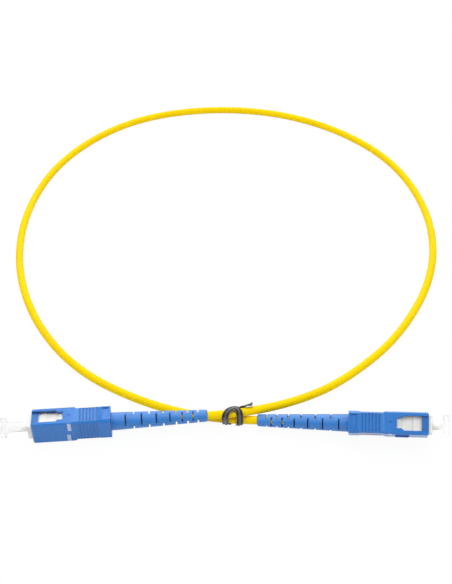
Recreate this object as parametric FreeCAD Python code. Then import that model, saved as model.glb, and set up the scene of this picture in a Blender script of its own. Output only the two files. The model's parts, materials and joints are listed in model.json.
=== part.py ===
import FreeCAD
import Part
import math
import os
from FreeCAD import Vector

# Patch cord with one jacketed cable and a push-pull plug on each end.
# A plug is built along its own X axis, which runs from the nose face (x = 0) to the boot's
# tail. Its Z axis is the normal of a latch window and its Y axis points out of the key.

# Fits
slide_clear = 0.10      # grip on plug frame, each side
bore_clear = 0.10       # ferrule collar in the frame, each side
spigot_clear = 0.03     # stop ring in the frame, each side
stem_clear = 0.15       # flange stem in the stop ring and in the spring, each side
cap_clear = 0.02        # dust cap on the ferrule, each side
cap_bore_clear = 0.15   # dust cap in the frame's bore, each side
boot_clear = 0.10       # boot on the cable and on the sleeve's neck, each side
grip_boot_clear = 0.12  # boot in the grip's rear bore, each side
fibre_clear = 0.10      # buffered fibre in the cable's end, each side
stop_clear = 0.05       # lug in its slot at each end of the travel
grip_room = 0.2         # past the boot's front and the frame's end, at the end of the travel
tie_clear = 0.20        # tie on the strands

# Ferrule, its flange and the fibre behind it
ferrule_dia = 2.5
ferrule_length = 10.5
ferrule_proud = 2.2     # tip in front of the nose face
ferrule_socket = 3.0    # length held in the flange
tip_chamfer = 0.35
ferrule_travel = 1.5
collar_dia = 4.2
collar_length = 2.0
notch_width = 0.7
notch_depth = 0.35
notches = 4
stem_dia = 2.4
stem_length = 5.2
fibre_dia = 0.9
fibre_into_cable = 2.0
fibre_play = 0.5        # depth left in the cable's end when the ferrule is pressed in

# Spring
spring_length = 6.2
spring_wire = 0.4
spring_turns = 6        # with one closed turn at each end
spring_end_gap = 0.05   # between the closed turns
spring_steps = 14       # sections of the wire in a turn
spring_sides = 8        # flats round the wire

# Plug frame
frame_width = 5.7
frame_height = 6.6
nose_height = 5.6
nose_chamfer = 0.3
frame_seat = 0.25       # width of the ledge that stops the ferrule collar
ramp_start = 4.4        # latch ramp, hook pocket and body, from the nose
ramp_end = 6.2
pocket_end = 10.2
latch_rise = 0.25
pocket_drop = 0.2       # pocket floor under the nose's top
lug_start = 13.0
lug_length = 1.5
lug_width = 2.0
lug_height = 0.3

# Stop ring
spigot_length = 5.5
snap_length = 0.8
snap_height = 0.1
ring_collar_dia = 5.5
ring_collar_length = 1.2
barrel_dia = 3.7
barrel_length = 6.0
barrel_grooves = 4
groove_width = 0.5
groove_depth = 0.2

# Yarn and crimp sleeve
yarn_thickness = 0.15
sleeve_wall = 0.3
sleeve_gap = 0.2        # from the ring's collar
sleeve_overrun = 0.6    # past the barrel's end
sleeve_cone = 1.0
neck_length = 5.0
jacket_inset = 0.4      # cable's end in front of the neck

# Boot
boot_dia = 5.9
boot_tail_dia = 4.0
boot_length = 37.0
boot_gap = 1.0          # from the ring's collar
boot_collar = 6.6       # length before the taper
socket_play = 1.2       # socket deeper than the sleeve's wide part
tail_round = 0.3
slot_count = 12
slot_width = 0.55
slot_first = 3.1        # from the tail to the first slot
slot_pitch = 1.65
slot_growth = 0.105     # each pitch is longer than the one behind it
slot_bridge = 0.58      # bridge that a pair of slots leaves, as a share of the boot's width there
slot_floor = 0.15       # wall left over the bore by a slot that doesn't reach it

# Grip
grip_length = 25.9
grip_width = 7.4
grip_height = 9.0
grip_edge = 0.4
mouth_bevel = 0.4
grip_forward = 1.0      # front face behind the nose, at the forward stop
grip_travel = 2.5
bar_length = 2.2
bar_thickness = 0.6
window_width = 4.8
window_wide_end = 8.0
window_neck_width = 3.4
window_end = 10.3
dimple_dia = 1.0
dimple_depth = 0.3
dimple_at = 12.2
front_end = 14.0        # end of the full section
waist_start = 14.6
waist_end = 21.9
flare_start = 22.9
waist_inset = 0.25
waist_edge = 0.5
flare_inset = 0.05
flare_edge = 0.8
flute_count = 6
flute_first = 15.7
flute_pitch = 1.1
flute_width = 0.4
flute_depth = 0.22
flute_side_depth = 0.12 # where the rear bore is nearer
rear_pocket_start = 23.1
rear_pocket_length = 2.2
rear_pocket_width = 5.0
rear_pocket_depth = 0.4
key_start = 6.0
key_length = 4.7
key_width = 2.0
key_height = 0.5
key_slope = 0.5

# Dust cap
cap_collar_gap = 0.7    # open end in front of the ferrule's collar, fully on
cap_outer = 5.6         # outer face in front of the nose, fully on
cap_rim_dia = 6.6
cap_rim_length = 1.9
cap_rim_round = 0.35
cap_end_gap = 0.5       # from the ferrule's tip to the cap's inner end

# Cable and tie
cable_dia = 2.8
tie_width = 2.2
tie_wing = 0.3          # thickness of the ribbon beside its wire
tie_ridge = 0.2         # height of the wire's ridge on the ribbon
tie_ridge_foot = 0.9
tie_ridge_top = 0.5
tie_steps = 2           # sections from one tie station to the next

# Where each plug lies: its nose, the way it points and how its loose pieces are set
plugs = {
    "left": {
        "nose": (-64.7, 0.45, 4.60), "yaw": 3.87, "tail_rise": 0.85, "roll": -2.0,
        "grip_set": 1.4, "boot_slip": 0.9, "boot_turn": 39.0, "cap_out": 3.3,
    },
    "right": {
        "nose": (67.7, -1.37, 7.45), "yaw": 174.0, "tail_rise": -4.6, "roll": -33.6,
        "grip_set": 1.2, "boot_slip": -0.9, "boot_turn": -25.5, "cap_out": 0.0,
    },
}

# The cable's route between the plugs. It leaves each boot in line with that plug's axis.
arc_reach = 0.45        # share of the shorter run that an arc takes up
left_lead = 11.0
right_lead = 16.0
route = [
    (24.6, 11.9, 4.0),
    (41.6, 23.1, 2.0),
    (63.3, 45.1, 1.4),
    (79.8, 78.0, 1.4),
    (82.4, 112.5, 1.4),
    (72.1, 145.7, 1.4),
    (50.2, 169.4, 1.4),
    (21.1, 183.4, 1.4),
    (-13.1, 185.3, 1.4),
    (-44.2, 175.3, 1.4),
    (-68.2, 150.7, 1.4),
    (-79.6, 119.6, 1.4),
    (-80.4, 86.4, 1.4),
    (-71.0, 54.8, 1.4),
    (-52.8, 28.8, 1.4),
    (-27.7, 13.2, 1.4),
]

# The tie's path: place along X, the strand it bears on, the side of that strand in degrees
# (0 faces the viewer, 90 is up, 180 is the far side), and its lift off the strand.
tie_path = [
    (9.2, "upper", 110, 0.8),
    (8.0, "upper", 122, 0.45),
    (6.9, "upper", 140, 0.2),
    (5.9, "upper", 168, 0.0),
    (5.0, "upper", 196, 0.0),
    (3.4, "lower", 196, 0.0),
    (2.4, "lower", 232, 0.0),
    (1.4, "lower", 270, 0.0),
    (0.75, "lower", 300, 0.0),
    (0.4, "lower", 325, 0.0),
    (0.25, "lower", 347, 0.0),
    (0.1, "upper", 347, 0.0),
    (0.3, "upper", 376, 0.0),
    (0.7, "upper", 410, 0.0),
    (1.5, "upper", 442, 0.15),
    (2.5, "upper", 464, 0.3),
    (3.5, "upper", 464, 0.4),
    (4.3, "upper", 444, 0.4),
    (4.8, "upper", 412, 0.15),
    (5.0, "upper", 380, 0.1),
    (5.0, "upper", 360, 0.1),
    (5.0, "lower", 360, 0.0),
    (4.8, "lower", 332, 0.0),
    (4.6, "lower", 304, 0.1),
]

# Stations along a plug's axis
ferrule_tip = -ferrule_proud
ferrule_end = ferrule_tip + ferrule_length
collar_front = ferrule_end - ferrule_socket
collar_back = collar_front + collar_length
stem_end = collar_back + stem_length
spring_back = collar_back + spring_length
frame_end = spring_back + spigot_length
ring_back = frame_end + ring_collar_length
barrel_end = ring_back + barrel_length
sleeve_front = ring_back + sleeve_gap
sleeve_shoulder = barrel_end + sleeve_overrun
sleeve_neck = sleeve_shoulder + sleeve_cone
sleeve_end = sleeve_neck + neck_length
cable_end = sleeve_neck - jacket_inset
boot_front = ring_back + boot_gap
boot_tail = boot_front + boot_length
taper_start = boot_front + boot_collar
neck_foot = sleeve_end + socket_play

# Radii that follow from the fits
ferrule_r = ferrule_dia / 2
collar_r = collar_dia / 2
stem_r = stem_dia / 2
fibre_r = fibre_dia / 2
cable_r = cable_dia / 2
frame_bore_r = collar_r + bore_clear
seat_r = collar_r - frame_seat
spigot_r = frame_bore_r - spigot_clear
ring_bore_r = stem_r + stem_clear
barrel_r = barrel_dia / 2
sleeve_bore_r = barrel_r + yarn_thickness
sleeve_r = sleeve_bore_r + sleeve_wall
neck_r = cable_r + sleeve_wall
boot_r = boot_dia / 2
boot_tail_r = boot_tail_dia / 2
boot_bore_r = cable_r + boot_clear
boot_neck_r = neck_r + boot_clear
cap_bore_r = ferrule_r + cap_clear
cap_r = seat_r - cap_bore_clear
cap_reach = collar_front - cap_collar_gap

# Half heights of the frame's steps and of the room that the grip leaves round them
nose_half = nose_height / 2
crest_half = nose_half + latch_rise
pocket_half = nose_half - pocket_drop
body_half = frame_height / 2
frame_half = frame_width / 2
cavity_half = frame_half + slide_clear
cavity_top = body_half + slide_clear
bar_under = crest_half + slide_clear
bar_top = bar_under + bar_thickness
fibre_bore_length = fibre_into_cable + ferrule_travel + fibre_play

origin = Vector(0, 0, 0)
along = Vector(1, 0, 0)


def turned(points):
    """Solid of revolution about the plug's axis from (station, radius) points."""
    corners = [Vector(x, 0, r) for x, r in points]
    face = Part.Face(Part.makePolygon(corners + corners[:1]))
    return face.revolve(origin, along, 360)


def rod(start, end, radius):
    return Part.makeCylinder(radius, end - start, Vector(start, 0, 0), along)


def block(start, end, y_low, y_high, z_low, z_high):
    corner = Vector(start, y_low, z_low)
    return Part.makeBox(end - start, y_high - y_low, z_high - z_low, corner)


def prism(points, height, low):
    """Outline in the window's plane, raised along Z from low."""
    corners = [Vector(x, y, low) for x, y in points]
    face = Part.Face(Part.makePolygon(corners + corners[:1]))
    return face.extrude(Vector(0, 0, height))


def half_turn(shape):
    """The same feature on the opposite face."""
    return shape.rotated(origin, along, 180)


def make_ferrule():
    chamfer_r = ferrule_r - tip_chamfer
    return turned([
        (ferrule_tip, 0), (ferrule_tip, chamfer_r), (ferrule_tip + tip_chamfer, ferrule_r),
        (ferrule_end, ferrule_r), (ferrule_end, 0),
    ])


def make_flange():
    flange = turned([
        (collar_front, ferrule_r), (collar_front, collar_r), (collar_back, collar_r),
        (collar_back, stem_r), (stem_end, stem_r), (stem_end, fibre_r),
        (ferrule_end, fibre_r), (ferrule_end, ferrule_r),
    ])
    notch = block(
        collar_front, collar_back, -notch_width / 2, notch_width / 2,
        collar_r - notch_depth, collar_r + notch_depth,
    )
    for turn in range(notches):
        flange = flange.cut(notch.rotated(origin, along, turn * 360 / notches))
    return flange


def make_fibre():
    return rod(ferrule_end, cable_end + fibre_into_cable, fibre_r)


def spring_height(turn):
    """Height of the wire's centre, from its first end, after some turns."""
    closed_pitch = spring_wire + spring_end_gap
    open_turns = spring_turns - 2
    open_pitch = (spring_length - spring_wire - 2 * closed_pitch) / open_turns
    closed = min(turn, 1) + max(turn - 1 - open_turns, 0)
    return closed * closed_pitch + min(max(turn - 1, 0), open_turns) * open_pitch


def make_spring():
    """Wire coil between the collar and the stop ring, with closed end turns."""
    mean_r = stem_r + stem_clear + spring_wire / 2
    sections = []
    for step in range(spring_turns * spring_steps + 1):
        turn = step / spring_steps
        out = Vector(0, math.cos(2 * math.pi * turn), math.sin(2 * math.pi * turn))
        middle = along * (collar_back + spring_wire / 2 + spring_height(turn)) + out * mean_r
        corners = []
        for side in range(spring_sides):
            angle = 2 * math.pi * side / spring_sides
            offset = out * math.cos(angle) + along * math.sin(angle)
            corners.append(middle + offset * (spring_wire / 2))
        sections.append(Part.makePolygon(corners + corners[:1]))
    return Part.makeLoft(sections, True, True)


def make_plug_frame():
    """Square tube with a latch ramp and a hook pocket on two faces, and stop lugs on two."""
    upper = [
        (0, nose_half - nose_chamfer), (nose_chamfer, nose_half), (ramp_start, nose_half),
        (ramp_end, crest_half), (ramp_end, pocket_half), (pocket_end, pocket_half),
        (pocket_end, body_half), (frame_end, body_half),
    ]
    lower = [(x, -z) for x, z in reversed(upper)]
    corners = [Vector(x, -frame_half, z) for x, z in upper + lower]
    side = Part.Face(Part.makePolygon(corners + corners[:1]))
    frame = side.extrude(Vector(0, frame_width, 0))
    lug_tip = frame_half + lug_height
    lugs = block(
        lug_start, lug_start + lug_length, -lug_tip, lug_tip, -lug_width / 2, lug_width / 2
    )
    frame = frame.fuse(lugs)
    snap_middle = spring_back + spigot_length / 2
    bore = turned([
        (0, 0), (0, seat_r + nose_chamfer), (nose_chamfer, seat_r), (collar_front, seat_r),
        (collar_front, frame_bore_r), (snap_middle - snap_length, frame_bore_r),
        (snap_middle - snap_length / 2, frame_bore_r + snap_height),
        (snap_middle + snap_length / 2, frame_bore_r + snap_height),
        (snap_middle + snap_length, frame_bore_r), (frame_end, frame_bore_r), (frame_end, 0),
    ])
    return frame.cut(bore).removeSplitter()


def make_stop_ring():
    """Spigot with a snap ridge, a collar on the frame's end and a grooved crimp barrel."""
    snap_middle = spring_back + spigot_length / 2
    ring = turned([
        (spring_back, ring_bore_r), (spring_back, spigot_r),
        (snap_middle - snap_length, spigot_r),
        (snap_middle - snap_length / 2, spigot_r + snap_height),
        (snap_middle + snap_length / 2, spigot_r + snap_height),
        (snap_middle + snap_length, spigot_r), (frame_end, spigot_r),
        (frame_end, ring_collar_dia / 2), (ring_back, ring_collar_dia / 2),
        (ring_back, barrel_r), (barrel_end, barrel_r), (barrel_end, ring_bore_r),
    ])
    pitch = barrel_length / (barrel_grooves + 1)
    for number in range(barrel_grooves):
        middle = ring_back + pitch * (number + 1)
        groove = turned([
            (middle - groove_width / 2, barrel_r), (middle, barrel_r - groove_depth),
            (middle + groove_width / 2, barrel_r),
        ])
        ring = ring.cut(groove)
    return ring


def make_yarn():
    return turned([
        (sleeve_front, barrel_r), (sleeve_front, sleeve_bore_r),
        (barrel_end, sleeve_bore_r), (barrel_end, barrel_r),
    ])


def make_crimp_sleeve():
    return turned([
        (sleeve_front, sleeve_bore_r), (sleeve_front, sleeve_r), (sleeve_shoulder, sleeve_r),
        (sleeve_neck, neck_r), (sleeve_end, neck_r), (sleeve_end, cable_r),
        (sleeve_neck, cable_r), (sleeve_shoulder, sleeve_bore_r),
    ])


def bridge_half(station):
    """Half the width of the bridge that a pair of slots leaves."""
    taper_part = (station - taper_start) / (boot_tail - tail_round - taper_start)
    half = slot_bridge * (boot_r + taper_part * (boot_tail_r - boot_r))
    if half < boot_bore_r - slot_floor:
        return half
    bore = boot_bore_r if station - slot_width > neck_foot else boot_neck_r
    return bore + slot_floor


def make_boot(plug):
    """Tapered sleeve, cut by pairs of slots that turn a quarter from one pair to the next."""
    socket_end = sleeve_shoulder + socket_play
    socket_foot = socket_end + sleeve_cone
    boot = turned([
        (boot_front, sleeve_r), (boot_front, boot_r), (taper_start, boot_r),
        (boot_tail - tail_round, boot_tail_r), (boot_tail, boot_tail_r - tail_round),
        (boot_tail, boot_bore_r), (neck_foot, boot_bore_r), (neck_foot, boot_neck_r),
        (socket_foot, boot_neck_r), (socket_end, sleeve_r),
    ])
    station = boot_tail - slot_first
    for number in range(slot_count):
        cut = block(
            station - slot_width / 2, station + slot_width / 2,
            -boot_dia, boot_dia, bridge_half(station), boot_dia,
        )
        pair = cut.fuse(half_turn(cut))
        boot = boot.cut(pair.rotated(origin, along, 90 * (number + 1)))
        station -= slot_pitch + slot_growth * number
    boot.rotate(origin, along, plug["boot_turn"])
    boot.translate(Vector(plug["boot_slip"], 0, 0))
    return boot


def grip_section(station, half_width, half_height, edge):
    """Rectangle with cut corners, square to the plug's axis."""
    quarter = [(half_width, half_height - edge), (half_width - edge, half_height)]
    corners = quarter + [(-y, z) for y, z in reversed(quarter)]
    corners += [(-y, -z) for y, z in corners]
    points = [Vector(station, y, z) for y, z in corners]
    return Part.makePolygon(points + points[:1])


def grip_sections():
    """Full front, waist and flared rear."""
    width = grip_width / 2
    height = grip_height / 2
    waist = (width - waist_inset, height - waist_inset, waist_edge)
    flare = (width - flare_inset, height - flare_inset, flare_edge)
    sections = [
        (0, width - mouth_bevel, height - mouth_bevel, grip_edge),
        (mouth_bevel, width, height, grip_edge),
        (front_end, width, height, grip_edge),
        (waist_start,) + waist,
        (waist_end,) + waist,
        (flare_start,) + flare,
        (grip_length,) + flare,
    ]
    return [grip_section(*section) for section in sections]


def finger_flutes():
    """Grooves across the waist's flats, each with its match on the opposite face."""
    top = grip_height / 2 - waist_inset
    side = grip_width / 2 - waist_inset
    flutes = []
    for number in range(flute_count):
        start = flute_first + flute_pitch * number
        end = start + flute_width
        across = block(
            start, end, waist_edge - side, side - waist_edge, top - flute_depth, grip_height
        )
        upright = block(
            start, end, side - flute_side_depth, grip_width, waist_edge - top, top - waist_edge
        )
        flutes += [across, half_turn(across), upright, half_turn(upright)]
    return flutes


def make_grip(plug):
    """Outer sleeve: latch windows on two faces, stop slots inside the other two, one key."""
    width = grip_width / 2
    height = grip_height / 2
    grip = Part.makeLoft(grip_sections(), True, True)
    key_top = width + key_height
    key_end = key_start + key_length
    key_side = [
        (key_start, width - key_height), (key_start, width), (key_start + key_slope, key_top),
        (key_end, key_top), (key_end, width - key_height),
    ]
    grip = grip.fuse(prism(key_side, key_width, -key_width / 2))

    wide = window_width / 2
    neck = window_neck_width / 2
    neck_start = window_wide_end + wide - neck
    window = prism([
        (bar_length, -wide), (window_wide_end, -wide), (neck_start, -neck), (window_end, -neck),
        (window_end, neck), (neck_start, neck), (window_wide_end, wide), (bar_length, wide),
    ], grip_height, 0)
    channel = block(0, bar_length, -wide, wide, bar_top, grip_height)
    rear_pocket = block(
        rear_pocket_start, rear_pocket_start + rear_pocket_length,
        -rear_pocket_width / 2, rear_pocket_width / 2,
        height - flare_inset - rear_pocket_depth, grip_height,
    )
    ball_r = (dimple_dia ** 2 / 4 + dimple_depth ** 2) / (2 * dimple_depth)
    dimple = Part.makeSphere(ball_r, Vector(dimple_at, 0, height + ball_r - dimple_depth))
    for feature in (window, channel, rear_pocket, dimple):
        grip = grip.cut(feature).cut(half_turn(feature))
    grip = grip.cut(finger_flutes())

    boot_room = boot_front + min(p["boot_slip"] for p in plugs.values())
    round_start = boot_room - grip_forward - grip_travel - grip_room
    cavity_end = frame_end - grip_forward + grip_room
    slot_start = lug_start - grip_forward - grip_travel - stop_clear
    slot_end = lug_start + lug_length - grip_forward + stop_clear
    slot_half = lug_width / 2 + slide_clear
    slot_depth = cavity_half + lug_height
    for room in (
        block(0, bar_length, -cavity_half, cavity_half, -bar_under, bar_under),
        block(bar_length, cavity_end, -cavity_half, cavity_half, -cavity_top, cavity_top),
        rod(round_start, grip_length, boot_r + grip_boot_clear),
        block(slot_start, slot_end, -slot_depth, slot_depth, -slot_half, slot_half),
    ):
        grip = grip.cut(room)
    grip.translate(Vector(plug["grip_set"], 0, 0))
    return grip


def make_dust_cap(plug):
    rim_back = cap_rim_length - cap_outer
    rim_r = cap_rim_dia / 2
    cap = turned([
        (-cap_outer, 0), (-cap_outer, rim_r - cap_rim_round),
        (cap_rim_round - cap_outer, rim_r), (rim_back - cap_rim_round, rim_r),
        (rim_back, rim_r - cap_rim_round), (rim_back, cap_r), (cap_reach, cap_r),
        (cap_reach, cap_bore_r), (ferrule_tip - cap_end_gap, cap_bore_r),
        (ferrule_tip - cap_end_gap, 0),
    ])
    cap.translate(Vector(-plug["cap_out"], 0, 0))
    return cap


def placement(plug):
    turn = FreeCAD.Rotation(Vector(0, 0, 1), plug["yaw"])
    tip = FreeCAD.Rotation(Vector(0, 1, 0), -plug["tail_rise"])
    roll = FreeCAD.Rotation(along, plug["roll"])
    return FreeCAD.Placement(Vector(*plug["nose"]), turn * tip * roll)


def on_axis(plug, station):
    return placement(plug).multVec(Vector(station, 0, 0))


def cable_points():
    left, right = plugs["left"], plugs["right"]
    left_tail = boot_tail + left["boot_slip"]
    right_tail = boot_tail + right["boot_slip"]
    points = [on_axis(left, cable_end), on_axis(left, left_tail + left_lead)]
    points += [Vector(*point) for point in route]
    points += [on_axis(right, right_tail + right_lead), on_axis(right, cable_end)]
    return points


def cable_path(points):
    """Straight runs joined by the largest tangent arcs that the runs leave room for."""
    edges = []
    here = points[0]
    for before, corner, after in zip(points, points[1:], points[2:]):
        back = before - corner
        ahead = after - corner
        reach = arc_reach * min(back.Length, ahead.Length)
        half_angle = (math.pi - back.getAngle(ahead)) / 2
        radius = reach / math.tan(half_angle)
        back.normalize()
        ahead.normalize()
        start = corner + back * reach
        end = corner + ahead * reach
        inward = (back + ahead).normalize()
        middle = corner + inward * (radius / math.cos(half_angle) - radius)
        edges.append(Part.LineSegment(here, start).toShape())
        edges.append(Part.Arc(start, middle, end).toShape())
        print(f"cable radius {radius:.0f} mm, turn {math.degrees(2 * half_angle):.0f} degrees")
        here = end
    edges.append(Part.LineSegment(here, points[-1]).toShape())
    return edges


def make_cable(points, path):
    first_way = points[1] - points[0]
    last_way = points[-2] - points[-1]
    section = Part.Wire(Part.makeCircle(cable_r, points[0], first_way))
    tube = Part.Wire(path).makePipeShell([section], True, False)
    length = sum(edge.Length for edge in path)
    print(f"cable length {length:.1f} mm, tube volume {tube.Volume:.1f} mm3,"
          f" section times length {math.pi * cable_r ** 2 * length:.1f} mm3")
    for end, way in ((points[0], first_way), (points[-1], last_way)):
        bore = Part.makeCylinder(fibre_r + fibre_clear, fibre_bore_length, end, way)
        tube = tube.cut(bore)
    return tube


def strand_at(path, x):
    """Centre of a strand where it crosses the plane at x."""
    strand = Part.Wire(path)
    reach = strand.BoundBox.DiagonalLength
    middle = strand.BoundBox.Center
    corners = [
        Vector(x, middle.y + y * reach, middle.z + z * reach)
        for y, z in ((-1, -1), (1, -1), (1, 1), (-1, 1))
    ]
    plane = Part.Face(Part.makePolygon(corners + corners[:1]))
    return strand.distToShape(plane)[1][0][0]


def tie_stations():
    """The tie's path with evenly spaced stations between the listed ones."""
    stations = []
    for (x, strand, side, lift), after in zip(tie_path, tie_path[1:]):
        for step in range(tie_steps):
            part = step / tie_steps
            if strand != after[1] and step:
                continue
            stations.append((
                x + part * (after[0] - x), strand,
                side + part * (after[2] - side), lift + part * (after[3] - lift),
            ))
    return stations + tie_path[-1:]


def make_twist_tie(path):
    """Flat ribbon over a wire, wound round both strands, one cross section at each station."""
    strands = {"upper": path[:4], "lower": path[-4:]}
    stand_off = cable_r + tie_clear
    upper = [
        (-1, tie_wing), (-tie_ridge_foot / tie_width, tie_wing),
        (-tie_ridge_top / tie_width, tie_wing + tie_ridge),
    ]
    outline = [(-1, 0)] + upper + [(-x, rise) for x, rise in reversed(upper)] + [(1, 0)]
    middles = []
    normals = []
    for x, strand, side, lift in tie_stations():
        angle = math.radians(side)
        normal = Vector(0, -math.cos(angle), math.sin(angle))
        middles.append(strand_at(strands[strand], x) + normal * (stand_off + lift))
        normals.append(normal)
    sections = []
    for number, (middle, normal) in enumerate(zip(middles, normals)):
        ahead = middles[min(number + 1, len(middles) - 1)]
        behind = middles[max(number - 1, 0)]
        across = (ahead - behind).cross(normal).normalize() * (tie_width / 2)
        corners = [middle + across * x + normal * rise for x, rise in outline]
        sections.append(Part.makePolygon(corners + corners[:1]))
    return Part.makeLoft(sections, True, True)


def save(name, shape):
    solids = len(shape.Solids)
    print(f"{name}: {solids} solid, {shape.Volume:.2f} mm3, valid {shape.isValid()}")
    shape.exportStep(f"parts/{name}.step")


os.makedirs("parts", exist_ok=True)
for side, plug in plugs.items():
    pieces = {
        "ferrule": make_ferrule(),
        "ferrule_flange": make_flange(),
        "fibre": make_fibre(),
        "spring": make_spring(),
        "plug_frame": make_plug_frame(),
        "stop_ring": make_stop_ring(),
        "yarn": make_yarn(),
        "crimp_sleeve": make_crimp_sleeve(),
        "boot": make_boot(plug),
        "grip": make_grip(plug),
        "dust_cap": make_dust_cap(plug),
    }
    for name, shape in pieces.items():
        shape.Placement = placement(plug).multiply(shape.Placement)
        save(f"{side}_{name}", shape)

cable_route = cable_points()
cable_runs = cable_path(cable_route)
save("cable", make_cable(cable_route, cable_runs))
save("twist_tie", make_twist_tie(cable_runs))
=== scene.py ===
import json
import math

import bmesh
import bpy
from mathutils import Matrix, Vector


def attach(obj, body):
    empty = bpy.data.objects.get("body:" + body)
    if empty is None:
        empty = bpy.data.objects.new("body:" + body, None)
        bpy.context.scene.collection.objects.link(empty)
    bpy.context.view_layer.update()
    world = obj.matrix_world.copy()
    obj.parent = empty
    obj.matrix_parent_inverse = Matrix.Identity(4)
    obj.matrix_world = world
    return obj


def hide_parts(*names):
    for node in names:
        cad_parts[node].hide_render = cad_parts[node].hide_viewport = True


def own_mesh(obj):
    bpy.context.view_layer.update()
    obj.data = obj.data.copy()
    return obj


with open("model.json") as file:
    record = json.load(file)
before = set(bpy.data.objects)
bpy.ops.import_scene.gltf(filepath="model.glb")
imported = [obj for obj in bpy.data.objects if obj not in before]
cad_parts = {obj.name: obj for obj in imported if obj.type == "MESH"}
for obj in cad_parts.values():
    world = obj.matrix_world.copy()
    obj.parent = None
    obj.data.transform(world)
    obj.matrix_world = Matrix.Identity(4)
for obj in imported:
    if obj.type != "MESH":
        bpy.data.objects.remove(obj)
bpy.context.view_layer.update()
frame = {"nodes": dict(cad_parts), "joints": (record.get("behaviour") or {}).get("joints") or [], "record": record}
nodes = frame["nodes"]
joints = {joint["name"]: joint for joint in frame["joints"]}
mounts = {mount["name"]: mount for mount in frame["record"]["mounts"]}
sides = ("left", "right")
mm = 0.001
merge = 1e-6                # points this close in a node's mesh are one
toneSpan = (0.35, 0.65)     # noise values over which a colour changes
roughSpan = (0.3, 0.7)      # noise values over which a roughness changes


# A plug's own axes: x from its nose to the boot's tail, z out of its latch window
plugSet = {"ferruleProud": 2.2 * mm, "roll": {"left": -2.0, "right": -33.6}}


def plugMatrix(side):
    axis = Vector(joints[side + "_grip_slide"]["axis"])
    tip = Vector(mounts[side + "_plug"]["pos_m"])
    turn = Matrix.Rotation(math.atan2(axis.y, axis.x), 4, "Z")
    tilt = Matrix.Rotation(-math.asin(axis.z), 4, "Y")
    roll = Matrix.Rotation(math.radians(plugSet["roll"][side]), 4, "X")
    return Matrix.Translation(tip + axis * plugSet["ferruleProud"]) @ turn @ tilt @ roll


plugs = {side: plugMatrix(side) for side in sides}


# One socket of a material; sums and products of these add Math nodes
class Wire:
    def __init__(self, maker, socket):
        self.maker = maker
        self.socket = socket

    def other(self, output):
        return Wire(self.maker, self.socket.node.outputs[output])

    def math(self, operation, *values):
        return self.maker.node("ShaderNodeMath", {"operation": operation}, list(values))

    def __add__(self, other):
        return self.math("ADD", self, other)

    def __mul__(self, other):
        return self.math("MULTIPLY", self, other)

    def __sub__(self, other):
        return self.math("SUBTRACT", self, other)

    def __rsub__(self, other):
        return self.math("SUBTRACT", other, self)

    def __gt__(self, other):
        return self.math("GREATER_THAN", self, other)

    def __abs__(self):
        return self.math("ABSOLUTE", self)

    def range(self, low, high, newLow=0.0, newHigh=1.0):
        limits = {"From Min": low, "From Max": high, "To Min": newLow, "To Max": newHigh}
        settings = {"interpolation_type": "SMOOTHSTEP"}
        return self.maker.node("ShaderNodeMapRange", settings, {"Value": self, **limits})


# Node tree of one material or of the sky, with its output as the end
class Finish:
    def __init__(self, owner, endKind="ShaderNodeOutputMaterial"):
        owner.use_nodes = True
        self.owner = owner
        self.tree = owner.node_tree
        self.tree.nodes.clear()
        self.end = self.tree.nodes.new(endKind)

    def node(self, kind, settings=None, values=None, output=0):
        made = self.tree.nodes.new(kind)
        for name, value in (settings or {}).items():
            setattr(made, name, value)
        pairs = values.items() if isinstance(values, dict) else enumerate(values or [])
        for name, value in pairs:
            if isinstance(value, Wire):
                self.tree.links.new(value.socket, made.inputs[name])
            else:
                made.inputs[name].default_value = value
        return Wire(self, made.outputs[output])

    def mix(self, share, first, second):    # colours go in at sockets 6 and 7, and out at 2
        colours = [c if isinstance(c, Wire) else (*c, 1.0) for c in (first, second)]
        values = {0: share, 6: colours[0], 7: colours[1]}
        return self.node("ShaderNodeMix", {"data_type": "RGBA"}, values, 2)

    def place(self, matrix=None):
        where = self.node("ShaderNodeTexCoord", output="Object")
        if matrix is None:
            return where
        return self.node(
            "ShaderNodeMapping", {"vector_type": "TEXTURE"},
            {"Vector": where, "Location": matrix.translation, "Rotation": matrix.to_euler()},
        )

    def noise(self, where, size, detail=3.0, stretch=None):
        if stretch:
            where = self.node("ShaderNodeVectorMath", {"operation": "MULTIPLY"}, [where, stretch])
        values = {"Vector": where, "Scale": 1 / size, "Detail": detail}
        return self.node("ShaderNodeTexNoise", None, values)

    def bump(self, height, depth, strength=0.5):
        values = {"Height": height, "Distance": depth, "Strength": strength}
        return self.node("ShaderNodeBump", None, values)

    def show(self, shader):
        self.tree.links.new(shader.socket, self.end.inputs["Surface"])
        return self.owner

    def plastic(self, colour, roughness, values):
        named = {"Base Color": colour, "Roughness": roughness, **values}
        return self.show(self.node("ShaderNodeBsdfPrincipled", None, named))


def newFinish(name):
    return Finish(bpy.data.materials.new(name))


# Camera, where the photograph was taken from
camSet = {
    "place": (0.4 * mm, -241.3 * mm, 299.7 * mm),
    "tilt": 46.0,
    "lens": 70.9,
    "near": 0.01,
}


def makeCamera():
    data = bpy.data.cameras.new("camera")
    data.lens = camSet["lens"]
    data.clip_start = camSet["near"]
    camera = bpy.data.objects.new("camera", data)
    camera.location = camSet["place"]
    camera.rotation_euler = (math.radians(camSet["tilt"]), 0, 0)
    bpy.context.collection.objects.link(camera)
    bpy.context.scene.camera = camera


def showMesh(name, bm):
    mesh = bpy.data.meshes.new(name)
    bm.to_mesh(mesh)
    bm.free()
    piece = bpy.data.objects.new(name, mesh)
    bpy.context.collection.objects.link(piece)
    return piece


def smoothMesh(name, bm, sharp):        # smooth faces, apart from edges over that angle
    for face in bm.faces:
        face.smooth = True
    piece = showMesh(name, bm)
    piece.data.set_sharp_from_angle(angle=math.radians(sharp))
    return piece


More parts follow.
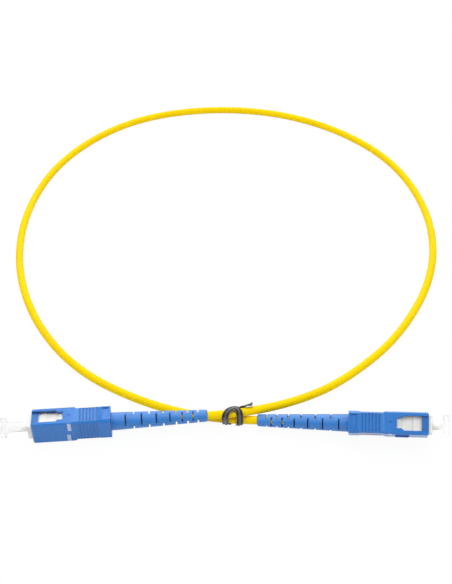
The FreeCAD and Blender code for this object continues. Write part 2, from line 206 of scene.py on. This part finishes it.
# Floor, soft boxes and sky
stageSet = {
    "floorSize": 6.0,
    "floorColour": (0.90, 0.90, 0.90),
    "floorLift": 0.94,      # share of plain white that is seen in the floor
    "skyLevel": 0.26,       # level of the sky as a light
    "skyMirror": 0.55,      # level of the sky that glossy surfaces reflect
    "boxes": [              # name, place, size, watts, each one aimed at the loop
        ("topBox", (0.03, 0.30, 1.20), 1.4, 9.0),
        ("leftBox", (-0.67, -0.32, 0.92), 0.7, 3.4),
        ("rightBox", (0.67, -0.32, 0.92), 0.7, 3.4),
        ("backBox", (0.0, 1.21, 0.61), 1.0, 7.0),
    ],
    "aim": (0.0, 0.06, 0.0),
}


def seenWhite(finish):      # 1 where the eye, a mirror or clear plastic looks at the surface
    eye = finish.node("ShaderNodeLightPath", output="Is Camera Ray")
    mirror = eye.other("Is Glossy Ray")
    clear = eye.other("Is Transmission Ray")
    return eye.math("MAXIMUM", eye, mirror.math("MAXIMUM", mirror, clear))


def makeFloor():
    bm = bmesh.new()
    bmesh.ops.create_grid(bm, x_segments=1, y_segments=1, size=stageSet["floorSize"] / 2)
    floor = showMesh("floor", bm)
    finish = newFinish("paleFloor")
    colour = {"Color": (*stageSet["floorColour"], 1.0)}
    plain = finish.node("ShaderNodeBsdfDiffuse", None, colour)
    white = finish.node("ShaderNodeEmission", None, {"Strength": 1.0})
    share = seenWhite(finish) * stageSet["floorLift"]
    shader = finish.node("ShaderNodeMixShader", None, [share, plain, white])
    floor.data.materials.append(finish.show(shader))


def makeSky():
    finish = Finish(bpy.data.worlds.new("sky"), "ShaderNodeOutputWorld")
    mirror = finish.node("ShaderNodeLightPath", output="Is Glossy Ray")
    reflected = mirror * mirror.other("Is Reflection Ray")
    seen = seenWhite(finish).range(0, 1, stageSet["skyLevel"], 1.0)
    level = seen - reflected * (1 - stageSet["skyMirror"])
    white = {"Color": (1.0, 1.0, 1.0, 1.0), "Strength": level}
    bpy.context.scene.world = finish.show(finish.node("ShaderNodeBackground", None, white))


def makeLamps():
    for name, place, size, watts in stageSet["boxes"]:
        data = bpy.data.lights.new(name, "AREA")
        data.shape = "DISK"
        data.size = size
        data.energy = watts
        lamp = bpy.data.objects.new(name, data)
        lamp.location = place
        way = Vector(stageSet["aim"]) - Vector(place)
        lamp.rotation_euler = way.to_track_quat("-Z", "Y").to_euler()
        bpy.context.collection.objects.link(lamp)


bpy.context.scene.view_settings.view_transform = "Standard"
makeCamera()
makeFloor()
makeSky()
makeLamps()
print("stage: camera, floor, sky and", len(stageSet["boxes"]), "soft boxes")


def addPiece(piece, body, finish, replaced):
    piece.data.materials.clear()
    piece.data.materials.append(finish)
    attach(piece, body)
    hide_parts(replaced)


# Cable: the route between the plugs, and the stations where it leaves their axes
cableSet = {
    "diameter": 2.8 * mm,
    "length": 0.612,
    "boreRadius": 0.55 * mm,
    "boreDepth": 4.0 * mm,
    "end": 27.4 * mm,       # stations along a plug's axis
    "mouth": 32.8 * mm,
    "lead": {"left": (50.1 * mm, 70.1 * mm), "right": (51.3 * mm, 73.3 * mm)},
    "route": [
        (0.0246, 0.0119, 0.0040), (0.0416, 0.0231, 0.0020), (0.0633, 0.0451, 0.0014),
        (0.0798, 0.0780, 0.0014), (0.0824, 0.1125, 0.0014), (0.0721, 0.1457, 0.0014),
        (0.0502, 0.1694, 0.0014), (0.0211, 0.1834, 0.0014), (-0.0131, 0.1853, 0.0014),
        (-0.0442, 0.1753, 0.0014), (-0.0682, 0.1507, 0.0014), (-0.0796, 0.1196, 0.0014),
        (-0.0804, 0.0864, 0.0014), (-0.0710, 0.0548, 0.0014), (-0.0528, 0.0288, 0.0014),
        (-0.0277, 0.0132, 0.0014),
    ],
    "order": 3,             # of the curve along the route
    "runSteps": 24,         # between two of its points
    "roundSteps": 12,       # added to each half of its round section
    "merge": 1e-7,
    "sharp": 40.0,
}


def onAxis(side, station):
    return plugs[side] @ Vector((station, 0, 0))


def cablePoints():
    left = [onAxis("left", s) for s in (cableSet["end"], *cableSet["lead"]["left"])]
    right = [onAxis("right", s) for s in (cableSet["end"], *cableSet["lead"]["right"])]
    return left + [Vector(point) for point in cableSet["route"]] + right[::-1]


def cableCurve(name, radius):
    curve = bpy.data.curves.new(name, "CURVE")
    curve.dimensions = "3D"
    curve.bevel_depth = radius
    curve.bevel_resolution = cableSet["roundSteps"]
    curve.use_fill_caps = radius > 0
    curve.resolution_u = cableSet["runSteps"]
    spline = curve.splines.new("NURBS")
    points = cablePoints()
    spline.points.add(len(points) - 1)
    for point, where in zip(spline.points, points):
        point.co = (*where, 1.0)
    spline.order_u = cableSet["order"]
    spline.use_endpoint_u = True
    made = bpy.data.objects.new(name, curve)
    bpy.context.collection.objects.link(made)
    return made


def curveMesh(curve):       # the curve's own mesh; the curve goes
    bpy.context.view_layer.update()
    solved = curve.evaluated_get(bpy.context.evaluated_depsgraph_get())
    mesh = bpy.data.meshes.new_from_object(solved)
    data = curve.data
    bpy.data.objects.remove(curve)
    bpy.data.curves.remove(data)
    return mesh


def makeCable(finish):
    radius = cableSet["diameter"] / 2
    line = curveMesh(cableCurve("cablePath", 0.0))
    path = [vertex.co.copy() for vertex in line.vertices]
    bm = bmesh.new()
    bm.from_mesh(curveMesh(cableCurve("cableTube", radius)))
    bmesh.ops.remove_doubles(bm, verts=bm.verts, dist=cableSet["merge"])
    ends = [face for face in bm.faces if len(face.verts) == 3]      # only the flat ends have these
    caps = bmesh.ops.dissolve_faces(bm, faces=ends)["region"]
    bmesh.ops.inset_individual(bm, faces=caps, thickness=radius - cableSet["boreRadius"])
    for face in bmesh.ops.extrude_discrete_faces(bm, faces=caps)["faces"]:      # the fibre's bores
        bmesh.ops.translate(bm, verts=face.verts, vec=face.normal * -cableSet["boreDepth"])
    cable = smoothMesh("cableJacket", bm, cableSet["sharp"])
    addPiece(cable, "core", finish, "cable")
    print("cable:", len(path), "points along it,", len(caps), "ends bored")
    return cable, path


# Jacket: extruded plastic, with faint drawing lines and a slightly deeper tone in places
jacketSet = {
    "tones": ((0.96, 0.675, 0.001), (0.94, 0.635, 0.001)),
    "cloud": 14 * mm, "cloudSpan": (0.35, 0.7),
    "roughness": (0.40, 0.50), "shine": 0.05,
    "lineWidth": 0.7 * mm, "lineStretch": 0.02, "lineDetail": 1.0,
    "lineDepth": 0.01 * mm, "lineStrength": 0.4,
}


def jacketFinish():
    finish = newFinish("jacketYellow")
    cloud = finish.noise(finish.place(), jacketSet["cloud"])
    girth = math.pi * cableSet["diameter"]
    run = cableSet["length"] * jacketSet["lineStretch"]
    spread = finish.node("ShaderNodeTexCoord", output="UV")
    lines = finish.noise(spread, jacketSet["lineWidth"], jacketSet["lineDetail"], (girth, run, 0))
    colour = finish.mix(cloud.range(*jacketSet["cloudSpan"]), *jacketSet["tones"])
    rough = lines.range(*roughSpan, *jacketSet["roughness"])
    bump = finish.bump(lines, jacketSet["lineDepth"], jacketSet["lineStrength"])
    values = {"Normal": bump, "Specular IOR Level": jacketSet["shine"]}
    return finish.plastic(colour, rough, values)


def moulded(finish, where, settings):       # tone, roughness and fine grain of moulded plastic
    size, detail, depth = settings["grain"]
    cloud = finish.noise(where, settings["cloud"])
    grain = finish.noise(where, size, detail)
    tone = finish.mix(cloud.range(*toneSpan), *settings["tones"])
    rough = grain.range(*roughSpan, *settings["roughness"])
    return tone, rough, finish.bump(grain, depth)


# Grip: moulded plastic with two white insertion marks on each side face, and painted shade in its flutes and in
# the walls of its recesses
gripSet = {
    "edge": 0.06 * mm,
    "tones": ((0.014, 0.168, 0.545), (0.020, 0.188, 0.595)), "cloud": 9 * mm,
    # painted shade: the colour that flute floors and recess walls are darkened towards
    "shade": (0.003, 0.038, 0.16),
    "roughness": (0.24, 0.34),
    "grain": (0.18 * mm, 3.0, 0.008 * mm),              # size, detail and depth
    "ior": 1.52,
    "set": {"left": 1.4 * mm, "right": 1.2 * mm},       # grip's front behind the nose
    "white": (0.84, 0.88, 0.93),
    "inkRough": 0.15,
    "marks": [                                          # start, end, low, high and ink's cover
        (11.8 * mm, 12.95 * mm, 0.8 * mm, 4.4 * mm, 0.60),
        (11.3 * mm, 12.50 * mm, -4.2 * mm, -1.1 * mm, 0.54),
    ],
    "sideFace": 3.6 * mm,
    "blur": 0.06 * mm,
    "flutes": (15.6 * mm, 21.8 * mm),
    "faceFloor": (3.9 * mm, 4.14 * mm, 2.95 * mm),      # a flute's floor: from, to, half length
    "sideFloor": (3.2 * mm, 3.39 * mm, 3.75 * mm),
    "paintedFluteShade": (0.32, 0.12),                         # painted shade in the flutes, on the window faces and on the sides
    "half": (3.7 * mm, 4.5 * mm),                       # half the grip's width and height
    "depth": (0.5 * mm, 1.4 * mm),                      # how far in its walls the painted shade comes in
    "wall": (1.15 * mm, 1.45 * mm),                     # where a window has its long walls, which get painted shade
    "wallDepth": (0.2 * mm, 0.7 * mm),
}


def band(value, low, high, blur):       # 1 between two limits, with soft ends
    rise = value.range(low - blur, low + blur)
    return rise * value.range(high - blur, high + blur, 1.0, 0.0)


def inkMark(x, z, start, end, low, high, cover):
    blur = gripSet["blur"]
    return band(x, start, end, blur) * band(z, low, high, blur) * cover


def fluteFloor(off, along, low, high, half):
    return band(abs(off), low, high, gripSet["blur"]) * (1 - (abs(along) > half))


def gripFinish(side):
    finish = newFinish(side + "GripBlue")
    where = finish.place(plugs[side])
    x = finish.node("ShaderNodeSeparateXYZ", None, [where])
    y, z = x.other("Y"), x.other("Z")
    x = x - gripSet["set"][side]
    upper, lower = (inkMark(x, z, *row) for row in gripSet["marks"])
    mark = (upper + lower) * (abs(y) > gripSet["sideFace"])
    # painted shade: flute floors and the walls deep in the grip get darker, as if little light reached them
    faceFlutes = fluteFloor(z, y, *gripSet["faceFloor"]) * gripSet["paintedFluteShade"][0]
    sideFlutes = fluteFloor(y, z, *gripSet["sideFloor"]) * gripSet["paintedFluteShade"][1]
    flute = (faceFlutes + sideFlutes) * band(x, *gripSet["flutes"], gripSet["blur"])
    fromSide, fromFace = gripSet["half"][0] - abs(y), gripSet["half"][1] - abs(z)
    deep = x.math("MINIMUM", fromSide, fromFace).range(*gripSet["depth"])
    wall = band(fromSide, *gripSet["wall"], gripSet["blur"])
    paintedRecessShade = x.math("MAXIMUM", deep, wall * fromFace.range(*gripSet["wallDepth"]))
    plain, rough, bump = moulded(finish, where, gripSet)
    withPaintedShade = finish.mix(flute.math("MAXIMUM", flute, paintedRecessShade), plain, gripSet["shade"])
    colour = finish.mix(mark, withPaintedShade, gripSet["white"])
    rough = rough + mark * gripSet["inkRough"]
    return finish.plastic(colour, rough, {"Normal": bump, "IOR": gripSet["ior"]})


# Boot: softer, more matt moulding, with little light in its slots
bootSet = {
    "edge": 0.05 * mm,
    "tones": ((0.022, 0.195, 0.60), (0.030, 0.220, 0.66)), "cloud": 6 * mm,
    # painted shade: the colour deep in the slots
    "shade": (0.004, 0.050, 0.18),
    "roughness": (0.36, 0.48),
    "grain": (0.25 * mm, 4.0, 0.015 * mm),
    "ior": 1.6,
    "taperStart": {"left": 28.7 * mm, "right": 26.9 * mm},
    "radius": 2.95 * mm,
    "taper": 0.0316,        # radius lost for each length past the start
    # depths under the outer surface over which the painted shade comes in
    "slotDepth": (0.1 * mm, 0.45 * mm),
}


def bootFinish(side):
    finish = newFinish(side + "BootBlue")
    where = finish.place(plugs[side])
    x = finish.node("ShaderNodeSeparateXYZ", None, [where])
    y, z = x.other("Y"), x.other("Z")
    past = x - bootSet["taperStart"][side]
    outer = bootSet["radius"] - past.math("MAXIMUM", past, 0.0) * bootSet["taper"]
    depth = outer - y.math("SQRT", y * y + z * z)
    plain, rough, bump = moulded(finish, where, bootSet)
    # painted shade: darker the deeper a point lies under the boot's outer surface
    colour = finish.mix(depth.range(*bootSet["slotDepth"]), plain, bootSet["shade"])
    return finish.plastic(colour, rough, {"Normal": bump, "IOR": bootSet["ior"]})


# Plug frame: white moulded plastic, cream in places
frameSet = {
    "edge": 0.05 * mm,
    "tones": ((0.93, 0.93, 0.91), (0.87, 0.85, 0.77)), "cloud": 3 * mm,
    "roughness": (0.38, 0.5),
    "grain": (0.15 * mm, 3.0, 0.008 * mm),
    "ior": 1.5,
}


def frameFinish(side):
    finish = newFinish(side + "FrameCream")
    colour, rough, bump = moulded(finish, finish.place(plugs[side]), frameSet)
    return finish.plastic(colour, rough, {"Normal": bump, "IOR": frameSet["ior"]})


# Dust cap: translucent soft plastic
capSet = {
    "edge": 0.05 * mm,
    "tones": ((0.97, 0.975, 0.975), (0.99, 0.99, 0.99)), "cloud": 2.5 * mm,
    "roughness": (0.30, 0.42),
    "clear": 0.9,
    "ior": 1.25,
}


def capFinish(side):
    finish = newFinish(side + "CapMilk")
    cloud = finish.noise(finish.place(plugs[side]), capSet["cloud"])
    colour = finish.mix(cloud.range(*toneSpan), *capSet["tones"])
    rough = cloud.range(*roughSpan, *capSet["roughness"])
    values = {"Transmission Weight": capSet["clear"], "IOR": capSet["ior"]}
    return finish.plastic(colour, rough, values)


# Tie: plastic ribbon over a wire, with painted highlights along its thin edges and on the wire's ridge
tieSet = {
    "width": 2.2 * mm,
    "standOff": 1.6 * mm,       # ribbon's inner face from a strand's middle
    "outline": [                # across, in half widths, rise, painted highlight and crease
        (-1.0, 0.0, 0.3, 0.7), (-1.0, 0.3 * mm, 1.0, 0.7), (-0.8, 0.3 * mm, 0.0, 0.0),
        (-0.41, 0.3 * mm, 0.0, 0.4), (-0.23, 0.5 * mm, 0.72, 0.4), (0.23, 0.5 * mm, 0.72, 0.4),
        (0.41, 0.3 * mm, 0.0, 0.4), (0.8, 0.3 * mm, 0.0, 0.0), (1.0, 0.3 * mm, 1.0, 0.7),
        (1.0, 0.0, 0.3, 0.7),
    ],
    "path": [                   # x in mm, strand, turn round it in degrees, lift in mm
        (9.2, "upper", 110, 0.8), (8.0, "upper", 122, 0.45), (6.9, "upper", 140, 0.2),
        (5.9, "upper", 168, 0.0), (5.0, "upper", 196, 0.0), (3.4, "lower", 196, 0.0),
        (2.4, "lower", 232, 0.0), (1.4, "lower", 270, 0.0), (0.75, "lower", 300, 0.0),
        (0.4, "lower", 325, 0.0), (0.25, "lower", 347, 0.0), (0.1, "upper", 347, 0.0),
        (0.1, "upper", 376, 0.0), (0.3, "upper", 410, 0.0), (1.0, "upper", 440, 0.15),
        (2.1, "upper", 458, 0.3), (3.5, "upper", 460, 0.4), (4.4, "upper", 442, 0.4),
        (4.8, "upper", 412, 0.15), (5.0, "upper", 380, 0.1), (5.0, "upper", 360, 0.1),
        (5.0, "lower", 360, 0.0), (4.8, "lower", 332, 0.0), (4.6, "lower", 304, 0.1),
    ],
    "smooth": 2,
    "tones": ((0.008, 0.008, 0.009), (0.018, 0.018, 0.020)), "cloud": 1.5 * mm,
    # painted highlight: the grey of the thin edges and the wire's ridge
    "highlightGrey": (0.24, 0.24, 0.24),
    "highlightSpan": (0.5, 1.0),             # tones over which the painted highlight comes in
    "highlightBreak": (0.2, 0.6, 0.6, 1.0),       # cloud values, and how strong the painted edge highlight is there
    "roughness": (0.22, 0.38),
    "grain": (0.2 * mm, 3.0, 0.01 * mm),
    "ior": 1.5,
}


def strandAt(path, x):      # where the cable first crosses the plane at x
    for start, end in zip(path, path[1:]):
        if (start.x - x) * (end.x - x) <= 0:
            return start.lerp(end, (x - start.x) / (end.x - start.x))


def tiePlaces(path):        # the ribbon's own axes at each station: across, along, outwards
    strands = {"upper": path, "lower": path[::-1]}
    middles, normals = [], []
    for x, strand, turn, lift in tieSet["path"]:
        normal = Vector((0, -math.cos(math.radians(turn)), math.sin(math.radians(turn))))
        away = tieSet["standOff"] + lift * mm
        middles.append(strandAt(strands[strand], x * mm) + normal * away)
        normals.append(normal)
    ahead, behind = middles[1:] + middles[-1:], middles[:1] + middles[:-1]
    places = []
    for middle, normal, after, before in zip(middles, normals, ahead, behind):
        across = (after - before).cross(normal).normalized()
        axes = Matrix((across, normal.cross(across), normal)).transposed()
        places.append(Matrix.Translation(middle) @ axes.to_4x4())
    return places


def makeTie(path, finish):
    places = tiePlaces(path)
    bm = bmesh.new()
    tone = bm.verts.layers.float.new("paintedHighlight")
    line = bm.verts.layers.int.new("line")
    crease = bm.edges.layers.float.new("crease_edge")
    section, creases = [], []
    for number, (across, rise, shade, sharp) in enumerate(tieSet["outline"]):
        vert = bm.verts.new((across * tieSet["width"] / 2, 0, rise))
        vert[tone], vert[line] = shade, number
        section.append(vert)
        creases.append(sharp)
    end = bm.faces.new(section)
    bmesh.ops.transform(bm, matrix=places[0], verts=end.verts)
    for number, (before, after) in enumerate(zip(places, places[1:])):
        made = bmesh.ops.extrude_face_region(bm, geom=[end])["geom"]
        if number:          # only the two outer ends stay closed
            bmesh.ops.delete(bm, geom=[end], context="FACES_ONLY")
        end = next(part for part in made if isinstance(part, bmesh.types.BMFace))
        bmesh.ops.transform(bm, matrix=after @ before.inverted(), verts=end.verts)
    bmesh.ops.recalc_face_normals(bm, faces=bm.faces)
    for edge in bm.edges:   # only the two ends have more than four corners
        first, second = (vert[line] for vert in edge.verts)
        atEnd = any(len(face.verts) > 4 for face in edge.link_faces)
        edge[crease] = 1.0 if atEnd else creases[first] * (first == second)
    for face in bm.faces:
        face.smooth = True
    tie = showMesh("twistTie", bm)
    soft = tie.modifiers.new("smoothRun", "SUBSURF")
    soft.levels = soft.render_levels = tieSet["smooth"]
    addPiece(tie, "core", finish, "twist_tie")
    print("tie:", len(places), "stations,", len(tie.data.polygons), "faces")
    return tie


def tieFinish():
    finish = newFinish("tieBlack")
    where = finish.place()
    plain, rough, bump = moulded(finish, where, tieSet)
    # painted highlight: edges and ridge turn grey where the edge tone is high, broken up by a cloud
    tone = finish.node("ShaderNodeAttribute", {"attribute_name": "paintedHighlight"}, output="Fac")
    highlightCloud = finish.noise(where, tieSet["cloud"]).range(*tieSet["highlightBreak"])
    colour = finish.mix(tone.range(*tieSet["highlightSpan"]) * highlightCloud, plain, tieSet["highlightGrey"])
    return finish.plastic(colour, rough, {"Normal": bump, "IOR": tieSet["ior"]})


# Rounded edges: angles in degrees under which faces merge, over which an edge is
# rounded, and over which it still looks sharp
softSet = {"flat": 0.5, "corner": 24.0, "sharp": 35.0, "segments": 2}


def softCopy(node, name, edge):     # merged copy of a node with rounded edges
    bm = bmesh.new()
    bm.from_mesh(nodes[node].data)
    bmesh.ops.remove_doubles(bm, verts=bm.verts, dist=merge)
    flat, corner = math.radians(softSet["flat"]), math.radians(softSet["corner"])
    bmesh.ops.dissolve_limit(bm, angle_limit=flat, verts=bm.verts, edges=bm.edges)
    corners = [e for e in bm.edges if e.is_manifold and e.calc_face_angle(0.0) > corner]
    bmesh.ops.bevel(
        bm, geom=corners, offset=edge, offset_type="OFFSET", affect="EDGES",
        segments=softSet["segments"], profile=0.5, material=-1, clamp_overlap=True,
    )
    piece = smoothMesh(name, bm, softSet["sharp"])
    piece.modifiers.new("faceNormals", "WEIGHTED_NORMAL").keep_sharp = True
    return piece


# Inside of a plug: ceramic, turned and plated brass, buffered fibre, yarn and spring wire
insideSet = {
    "ceramic": {
        "tones": ((0.90, 0.89, 0.86), (0.86, 0.85, 0.81)), "roughness": (0.10, 0.18),
        "size": 0.6 * mm, "stretch": None, "depth": 0.004 * mm, "metal": 0.0,
    },
    "brass": {
        "tones": ((0.70, 0.67, 0.60), (0.60, 0.57, 0.50)), "roughness": (0.18, 0.34),
        "size": 0.12 * mm, "stretch": (1, 0.03, 0.03), "depth": 0.004 * mm, "metal": 1.0,
    },
    "buffer": {
        "tones": ((0.88, 0.88, 0.85), (0.80, 0.80, 0.77)), "roughness": (0.35, 0.5),
        "size": 0.1 * mm, "stretch": (0.05, 1, 1), "depth": 0.004 * mm, "metal": 0.0,
    },
    "yarn": {
        "tones": ((0.80, 0.62, 0.16), (0.52, 0.36, 0.07)), "roughness": (0.5, 0.7),
        "size": 0.08 * mm, "stretch": (0.04, 1, 1), "depth": 0.03 * mm, "metal": 0.0,
    },
    "wire": {
        "tones": ((0.60, 0.60, 0.61), (0.50, 0.50, 0.52)), "roughness": (0.2, 0.35),
        "size": 0.08 * mm, "stretch": (1, 0.2, 0.2), "depth": 0.004 * mm, "metal": 1.0,
    },
}
insideNodes = {
    "ferrule": "ceramic", "ferrule_flange": "brass", "stop_ring": "brass",
    "crimp_sleeve": "brass", "fibre": "buffer", "yarn": "yarn",
}


def insideFinish(side, name):
    settings = insideSet[name]
    finish = newFinish(side + name.capitalize())
    where = finish.place(plugs[side])
    grain = finish.noise(where, settings["size"], stretch=settings["stretch"])
    colour = finish.mix(grain.range(*toneSpan), *settings["tones"])
    rough = grain.range(*roughSpan, *settings["roughness"])
    bump = finish.bump(grain, settings["depth"])
    return finish.plastic(colour, rough, {"Normal": bump, "Metallic": settings["metal"]})


# Spring: stations of its ends on the plug's axis, and room left in front when pressed
springSet = {"start": 7.3 * mm, "end": 13.5 * mm, "spare": 0.06 * mm, "sharp": 50.0}


def makeSpring(side, finish):
    bm = bmesh.new()
    bm.from_mesh(nodes[side + "_spring"].data)
    bmesh.ops.remove_doubles(bm, verts=bm.verts, dist=merge)
    spring = smoothMesh(side + "Spring", bm, springSet["sharp"])
    addPiece(spring, "core", finish, side + "_spring")
    press = joints[side + "_ferrule_press"]
    long = springSet["end"] - springSet["start"]
    left = long - max(press["range_m"]) - springSet["spare"]
    left / long
    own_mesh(spring)


def dressInside(side):
    finishes = {name: insideFinish(side, name) for name in insideSet}
    for node, name in insideNodes.items():
        for slot in nodes[f"{side}_{node}"].material_slots:
            slot.link = "OBJECT"
            slot.material = finishes[name]
    makeSpring(side, finishes["wire"])


cable, cablePath = makeCable(jacketFinish())
tie = makeTie(cablePath, tieFinish())
for side in sides:
    pieces = [
        ("grip", "Grip", gripSet, gripFinish, side + "_grip", "grip_plastic"),
        ("boot", "Boot", bootSet, bootFinish, "core", "boot_plastic"),
        ("plug_frame", "PlugFrame", frameSet, frameFinish, "core", "frame_plastic"),
        ("dust_cap", "DustCap", capSet, capFinish, side + "_cap", "cap_plastic"),
    ]
    for node, name, settings, finish, body, slot in pieces:
        piece = softCopy(f"{side}_{node}", side + name, settings["edge"])
        addPiece(piece, body, finish(side), f"{side}_{node}")
    dressInside(side)
print("plugs: done")
